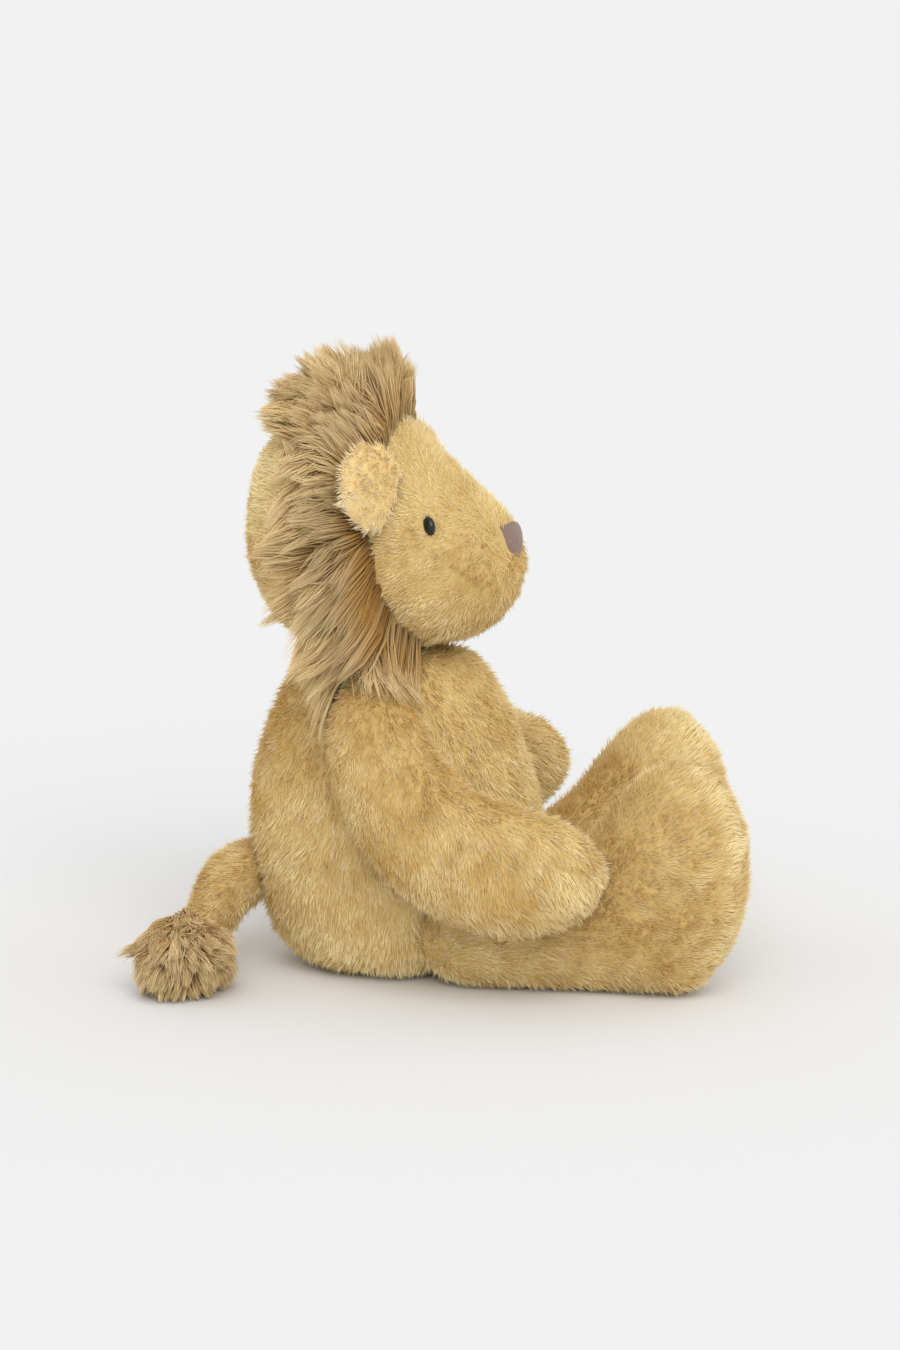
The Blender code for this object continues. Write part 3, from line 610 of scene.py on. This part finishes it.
tail_nodes = ["tail_cover", "tail_stuffing"]
tail = bag("tail", tail_nodes, voxel=0.0025, sink=SINK / 2)
for vertex in tail.data.vertices:
    near = math.exp(-(((vertex.co - TAIL_MIDDLE).length / TAIL_SAG_LONG) ** 2))
    vertex.co += TAIL_SAG * near
    vertex.co.z = max(vertex.co.z, FLOOR_GAP)
finish_skin(tail, honey_backing, tail_nodes)
tail_pile = pile("tail_pile", tail, count=9000, source=tail_root + Vector((0.02, 0, 0)), seed=41)
tail_pile.data.materials.append(honey)
for piece in (tail, tail_pile):
    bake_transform(piece)


# Head
# A firmly stuffed bag. Its panels meet in a seam across the crown, which the mane covers. The
# short pile is combed back from the nose, and none grows under the nose and the eyes.
HEAD_TURN = math.radians(-10)
HEAD_PUFF = 0.001
NOSE_TURN = math.radians(-15)            # round the snout, towards the near side
SNOUT_DEEP = 0.020                       # from the nose to the axis it is turned about
FACE_PILE = 0.0031
BARE_NOSE = 0.30                         # the bare place, as a share of the nose's size each way
BARE_EYE, BARE_EYE_AHEAD = 0.0022, 0.0006
BEAD_SUNK = 0.0002
neck = hinge["neck_turn"]
ahead = np.array((math.cos(HEAD_TURN), math.sin(HEAD_TURN), 0.0))
leftward = np.array((-math.sin(HEAD_TURN), math.cos(HEAD_TURN), 0.0))
nose_low, nose_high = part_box("nose_patch")


def about(place, change):
    """A turn or a scale made about a place."""
    return Matrix.Translation(place) @ change @ Matrix.Translation(-place)


snout = (nose_low + nose_high) / 2 - Vector(ahead) * SNOUT_DEEP
nose_turn = about(snout, Matrix.Rotation(NOSE_TURN, 4, "Z"))
nose_at = nose_turn @ ((nose_low + nose_high) / 2)
eyes = []
for name in ("right", "left"):
    low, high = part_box(f"{name}_eye")
    washer_low, washer_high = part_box(f"{name}_eye_washer")
    outward = ((low + high) / 2 - (washer_low + washer_high) / 2).normalized()
    eyes.append(((low + high) / 2 - outward * BEAD_SUNK, outward))


def off_the_trims(points):
    """1 where pile grows, 0 under the nose patch and the eyes."""
    grows = np.ones(len(points))
    offset = (points - np.array(nose_at)) / (np.array(nose_high - nose_low) * BARE_NOSE)
    grows[(offset[:, 1] ** 2 + offset[:, 2] ** 2 < 1) & (offset[:, 0] > -1.5)] = 0.0
    for eye, _ in eyes:
        away = np.linalg.norm(points - np.array(eye) - ahead * BARE_EYE_AHEAD, axis=1)
        grows[away < BARE_EYE] = 0.0
    return grows


def in_head(points):
    """Places in the head's own directions: ahead, left and up from the neck."""
    local = points - np.array(neck)
    return local @ ahead, local @ leftward, local[:, 2]


def pale_brow(roots):
    """The forehead and the snout's top are paler, the cheek a little deeper."""
    height = in_head(roots)[2]
    return 0.28 + 0.42 * np.clip((height - 0.045) / 0.03, -0.5, 1)


head_nodes = ["head_back_panel", "face_panel", "head_stuffing"]
head = bag("head", head_nodes, voxel=0.004, sink=0.0018)
stuff(head, HEAD_PUFF)
finish_skin(head, honey_backing, head_nodes)
head_pile = pile(
    "head_pile", head, count=48000, source=nose_at + Vector((0.02, 0, 0.01)), seed=51,
    length=FACE_PILE, where=off_the_trims, pale=pale_brow,
)
head_pile.data.materials.append(honey)
for piece in (head, head_pile):
    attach(piece, "head")


# Ears
# Two rounds of plush sewn back to back, paler than the face, their pile combed up and out. The
# far ear is pressed flat behind the brow, the near one stands as the solid does.
EAR_FOLDS = {"right": 0.0, "left": math.radians(35)}
EAR_LEAN = 0.82
# Its darker root is painted shade deep in the pile, its paler tip painted light.
cream = plush_finish("cream_polyester_plush", "E6C68A", "F7E2AE", "FFF5D6", "F6DCA8", "FFF6DC")
cream_backing = backing_finish("cream_knitted_backing", "F0D698")


def shape_of(piece):
    """A piece's faces, to find the nearest place on them."""
    return BVHTree.FromPolygons(
        [v.co for v in piece.data.vertices], [tuple(f.vertices) for f in piece.data.polygons]
    )


def disc_of(ear):
    """An ear as a disc: its middle, the way it faces, and a radius that takes in its pile."""
    at = np.array([v.co for v in ear.data.vertices])
    middle = at.mean(axis=0)
    forward = np.linalg.svd(at - middle, full_matrices=False)[2][2]
    forward = forward * math.copysign(1, forward @ ahead)
    return middle, forward, np.linalg.norm(at - middle, axis=1).max() * 1.08


head_shape = shape_of(head)
discs = []
for side, name in ((-1, "right"), (1, "left")):
    ear = bag(f"{name}_ear_bag", [f"{name}_ear"], voxel=0.0018, sink=0.0009)
    centre = sum((v.co for v in ear.data.vertices), Vector()) / len(ear.data.vertices)
    root = head_shape.find_nearest(centre)[0]
    ear.data.transform(about(root, Matrix.Rotation(EAR_FOLDS[name], 4, "Z")))
    finish_skin(ear, cream_backing, [f"{name}_ear"])
    discs.append(disc_of(ear))
    ear_pile = pile(
        f"{name}_ear_pile", ear, count=2200, source=neck + Vector((0, 0, 0.05)), seed=61 + side,
        lean=EAR_LEAN, toward=side * leftward + (0, 0, 0.3),
    )
    ear_pile.data.materials.append(cream)
    for piece in (ear, ear_pile):
        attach(piece, "head")


# Mane
# A strip of 20 mm pile sewn in round the face. Its hair stands up at the crown, sweeps back
# along the sides and hangs in locks over the shoulders. The tables below run round the head,
# from the crown to the strip's end under the cheek. They say where across the head's length
# the strip lies, how the hair stands, sweeps back, hangs and spreads, how long it is, how pale
# it is, and how much darker its front edge is.
MANE_LONG = 0.0215
MANE_WILD = 0.42                         # how far the locks stray from their heading
MANE_WHORLS, MANE_WHORL_SHARE = 0.024, 0.55
HAIR_THICK = 0.00048
HAIR_ROOT_DEEP = 0.0012
HAIR_PROFILE = (1.0, 1.0, 0.75)          # how thick a hair is at its root and its two bends
BENDS = (0.0, 0.34, 0.68, 1.0)           # where along its length a hair has its points
BENDS_CLEAR = (0.0012, 0.0034, 0.0048)   # how far above the skins the points past the root stay
BENDS_DRAWN = (0.12, 0.5, 1.0)           # how much of the pull into a lock those points get
BIG_LOCK, BIG_PULL = 110, 0.34           # hairs in a big lock, and how far their tips draw together
SMALL_LOCK, SMALL_PULL = 16, 0.66
BEHIND_EAR, BEFORE_EAR = 0.0035, 0.02    # hair this far behind to this far before an ear moves back
HEAD_LONG, HEAD_BACK, HEAD_RISE = 0.0955, 0.044, 0.0384    # HEAD_BACK and HEAD_RISE are from the neck
ROUND = np.radians((0, 40, 80, 110, 130, 148))
FRONT_LINE = (0.57, 0.56, 0.52, 0.55, 0.60, 0.67)
BACK_LINE = (0.22, 0.26, 0.32, 0.36, 0.42, 0.50)
STANDS = (1.0, 0.85, 0.50, 0.42, 0.45, 0.40)
SWEEPS = (0.05, 0.40, 0.90, 0.70, 0.40, 0.05)
HANGS = (0.0, 0.0, 0.15, 0.90, 1.30, 1.0)
REACHES = (1.28, 1.28, 1.22, 1.65, 2.00, 1.15)
SPREADS = (0.0, 0.0, 0.15, 0.50, 0.55, 0.20)
PALES = (0.14, 0.06, -0.05, 0.25, 0.40, 0.30)
DARKS, DARK_WIDE = (0.0, 0.0, 0.4, 0.7, 0.7, 0.5), 0.30
FLATTER, FURTHER_BACK, LOWER = 0.9, 0.8, 0.6    # how hair at the strip's back edge differs
SHORTER = 0.22                           # and how much shorter it is at the crown
LOCK_TINT, STRAND_TINT = 0.8, 0.28       # how much a lock's and a strand's own shade varies
# Its dark brown root is painted shade deep in the mane, its pale tip painted light.
brown = plush_finish("brown_long_pile", "604020", "CAA05C", "F8E2B0", "8A5F2C", "F6E0AC")


def strip_place(points):
    """The angle round the head from the crown, the place across the strip, and which side."""
    x, y, z = in_head(points)
    angle = np.abs(np.arctan2(y, z - HEAD_RISE))
    share = (x + HEAD_BACK) / HEAD_LONG
    front, back = np.interp(angle, ROUND, FRONT_LINE), np.interp(angle, ROUND, BACK_LINE)
    return angle, (front - share) / (front - back), y


def on_side(sign):
    """1 in the strip on one side of the head: -1 for the right, 1 for the left."""
    def where(points):
        angle, across, y = strip_place(points)
        return ((across > 0) & (across < 1) & (angle < ROUND[-1]) & (sign * y > 0)).astype(float)
    return where


def kept_out(points, skins, clear):
    """Points moved out of the skins that they would sink into."""
    for skin in skins:
        shape = shape_of(skin)
        for i, point in enumerate(points):
            near, normal, _, _ = shape.find_nearest(Vector(point), 0.02)
            if near is not None and (Vector(point) - near).dot(normal) < clear:
                points[i] = near + normal * clear
    return points


def behind_ears(points):
    """Points in front of an ear's disc are pressed back behind it."""
    for middle, forward, radius in discs:
        ahead_of = (points - middle) @ forward
        near = np.linalg.norm(points - middle - ahead_of[:, None] * forward, axis=1) < radius
        pressed = near & (ahead_of > -BEHIND_EAR) & (ahead_of < BEFORE_EAR)
        points[pressed] -= forward * (ahead_of[pressed] + BEHIND_EAR)[:, None]
    return points


def locks(roots, normals, first, last, reach, wild, skins, dice):
    """Long strands that bend from one heading to another, gathered into pointed locks."""
    big, small = clumped(roots, BIG_LOCK, dice), clumped(roots, SMALL_LOCK, dice)
    for (mine, _), share in ((big, 1.0), (small, 0.45)):
        last = last + wild * share * dice.normal(size=(mine.max() + 1, 3))[mine]
    last = unit(last)
    ways = [(first * t + (last - first) * t * t / 2) * reach[:, None] for t in BENDS]
    lines = np.stack([roots + way for way in ways], axis=1)
    clump = np.zeros(len(roots))
    for (_, own), pull in ((big, BIG_PULL), (small, SMALL_PULL)):
        shift = (lines[own, -1] - lines[:, -1]) * pull
        for level, part in enumerate(BENDS_DRAWN, 1):
            lines[:, level] += shift * part
        clump += dice.random(len(roots))[own] / 2
    lines[:, 0] -= normals * HAIR_ROOT_DEEP
    for level, clear in enumerate(BENDS_CLEAR, 1):
        lines[:, level] = kept_out(lines[:, level], skins, clear)
    lines[:, :, 2] = np.maximum(lines[:, :, 2], FLOOR_GAP)
    return lines, clump


def mane(name, count, seed, where):
    """The strands of one side of the mane."""
    dice = np.random.default_rng(seed)
    roots, normals = roots_on(head, count, dice, where)
    angle, across, y = strip_place(roots)
    stands, sweeps, hangs, spreads = (
        np.interp(angle, ROUND, way)[:, None] for way in (STANDS, SWEEPS, HANGS, SPREADS)
    )
    outward = np.sign(y)[:, None] * leftward[None]
    back, down = -ahead[None], np.array((0, 0, -1.0))[None]
    rearward = across[:, None]
    upright = unit(normals - ahead * np.maximum(normals @ ahead, 0)[:, None])
    first = unit(
        upright + 0.35 * sweeps * back + 0.7 * hangs * down + 0.12 * dice.normal(size=roots.shape)
    )
    last = unit(
        upright * (stands - FLATTER * rearward)
        + back * (sweeps + FURTHER_BACK * rearward - 0.15)
        + down * (hangs + LOWER * rearward)
        + outward * spreads
        + MANE_WHORL_SHARE * whorls(roots, MANE_WHORLS, seed)
        + 0.10 * dice.normal(size=roots.shape)
    )
    reach = MANE_LONG * np.interp(angle, ROUND, REACHES) * (SHORTEST + LONGER * dice.random(count))
    reach *= 1 - SHORTER * across * np.clip(np.cos(angle), 0, 1)
    lines, clump = locks(roots, normals, first, last, reach, MANE_WILD, [head, body, *arms], dice)
    for level in range(1, len(BENDS)):
        lines[:, level] = behind_ears(lines[:, level])
    shade = 0.5 + LOCK_TINT * (clump - 0.5) + STRAND_TINT * (dice.random(count) - 0.5)
    shade += 0.15 * ripple(roots, 0.02, seed)
    shade += np.interp(angle, ROUND, PALES)
    shade -= np.interp(angle, ROUND, DARKS) * np.exp(-((across / DARK_WIDE) ** 2))
    return hairs(name, lines, unit(normals + 0.4 * last), HAIR_THICK, HAIR_PROFILE, shade, dice)


right_mane = mane("right_mane", count=12000, seed=71, where=on_side(-1))
left_mane = mane("left_mane", count=12000, seed=72, where=on_side(1))
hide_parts("mane")
for piece in (right_mane, left_mane):
    piece.data.materials.append(brown)
    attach(piece, "head")


# Tuft
# The tail ends in a ball of the mane's own long pile, which lies on the table. Its core is a
# shrunken copy of the solid, shifted a little to where the photograph shows the ball.
TUFT_LONG = 0.0165
TUFT_WILD = 0.22
TUFT_SINK = 0.0095
TUFT_SHIFT = Vector((0.003, 0, -0.001))
TUFT_FROM = tail_root + Vector((-0.02, -0.015, 0.01))

tuft_core = bag("tuft_core", ["tail_tuft"], voxel=0.003, sink=TUFT_SINK)
tuft_core.data.transform(Matrix.Translation(TUFT_SHIFT))
finish_skin(tuft_core, brown, ["tail_tuft"])
dice = np.random.default_rng(81)
roots, normals = roots_on(tuft_core, count=9500, dice=dice)
sweep_out = unit(roots - np.array(TUFT_FROM))
first = unit(normals + 0.5 * sweep_out + 0.2 * dice.normal(size=roots.shape))
sag = np.array((0, 0, -0.45))
last = unit(0.5 * normals + 0.8 * sweep_out + sag + 0.2 * dice.normal(size=roots.shape))
reach = TUFT_LONG * (0.7 + 0.5 * dice.random(len(roots)))
lines, clump = locks(roots, normals, first, last, reach, TUFT_WILD, [tuft_core], dice)
shade = 0.5 + 0.5 * (clump - 0.5) + 0.3 * (dice.random(len(roots)) - 0.5)
tuft = hairs("tuft", lines, unit(normals + 0.3 * last), HAIR_THICK, HAIR_PROFILE, shade, dice)
tuft.data.materials.append(brown)
for piece in (tuft_core, tuft):
    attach(piece, "tail")


# Eyes
# Glossy black beads, half sunk in the pile. Seen from the side each is a narrow upright oval.
BEAD_RADIUS = 0.0033
BEAD_SQUEEZE = Matrix.Diagonal((0.54, 1.0, 0.82, 1.0))

bead_plastic = bpy.data.materials.new("black_acrylic_bead")
bead_plastic.use_nodes = True
bead_shader = bead_plastic.node_tree.nodes["Principled BSDF"]
bead_shader.inputs["Base Color"].default_value = colour("12130F")
bead_shader.inputs["Roughness"].default_value = 0.12
bead_shader.inputs["IOR"].default_value = 1.49
for name, (place, outward) in zip(("right", "left"), eyes):
    bpy.ops.object.select_all(action="DESELECT")
    bpy.ops.mesh.primitive_uv_sphere_add(segments=32, ring_count=20, radius=BEAD_RADIUS, location=(0, 0, 0))
    bead = bpy.context.object
    bead.name = f"{name}_bead"
    turn = outward.to_track_quat("Z", "Y").to_matrix().to_4x4()
    bead.data.transform(Matrix.Translation(place) @ turn @ BEAD_SQUEEZE)
    bead.data.materials.append(bead_plastic)
    bead.data.shade_smooth()
    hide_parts(f"{name}_eye")
    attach(bead, "head")


# Nose
# A small patch of suede cloth, mauve brown, on the tip of the snout.
NOSE_SCALE = 0.86
NOSE_SUNK = 0.0026
NOSE_VOXEL = 0.0005

suede = mottled_finish(
    "mauve_suede_cloth", (colour("6E5548"), colour("9A7E6E")), 0.85, 0.2,
    sheen=0.3, grain=(900.0, 4.0), bump=(0.5, 0.0003),
)
nose = copied("nose", ["nose_patch"])
apply(nose, "REMESH", mode="VOXEL", voxel_size=NOSE_VOXEL)
apply(nose, "SMOOTH", factor=0.5, iterations=6)
nose.data.transform(nose_turn)
nose.data.transform(about(nose_at, Matrix.Scale(NOSE_SCALE, 4)))
nose.data.transform(Matrix.Translation(Vector(-ahead) * NOSE_SUNK))
nose.data.materials.clear()
nose.data.materials.append(suede)
nose.data.shade_smooth()
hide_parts("nose_patch")
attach(nose, "head")


# Inside
# The washers that lock the eyes are moulded in white plastic and never show.
washer_plastic = backing_finish("white_moulded_washer", "E6E6E2")
for name in ("right", "left"):
    washer = frame["nodes"][f"{name}_eye_washer"]
    washer.data.materials.clear()
    washer.data.materials.append(washer_plastic)
